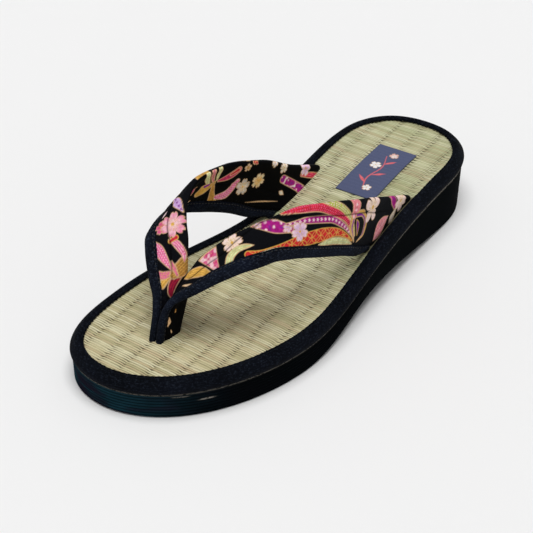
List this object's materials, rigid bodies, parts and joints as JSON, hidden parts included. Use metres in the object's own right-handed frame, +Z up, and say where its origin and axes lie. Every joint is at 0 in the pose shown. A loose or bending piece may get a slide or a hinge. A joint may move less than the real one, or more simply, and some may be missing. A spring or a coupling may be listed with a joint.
{
  "type": "zori sandal",
  "caption": "Left zori sandal: foam wedge sole, woven rush footbed with a cloth edge tape, and a padded V-shaped thong strap.",
  "frame": {"origin": "on the floor under the middle of the sandal's bounding box", "axes": "+Z up, +Y toward the heel, +X toward the outer (little toe) side of this left sandal"},
  "size_m": [0.0937, 0.24, 0.0672],
  "materials": {
    "sole_foam": "matt moulded foam",
    "woven_rush": "woven rush, dry and slightly glossy",
    "edge_tape": "plain woven cotton tape",
    "strap_cloth": "crepe cloth with a printed flower pattern",
    "strap_tape": "rolled cotton tape, stitched",
    "label_cloth": "woven label, plain"
  },
  "bodies": {
    "root": {"sole": "sole_foam", "tatami_insole": "woven_rush", "edge_binding": "edge_tape", "strap": "strap_cloth", "strap_binding_outer": "strap_tape", "strap_binding_inner": "strap_tape", "heel_label": "label_cloth"}
  },
  "joints": []
}
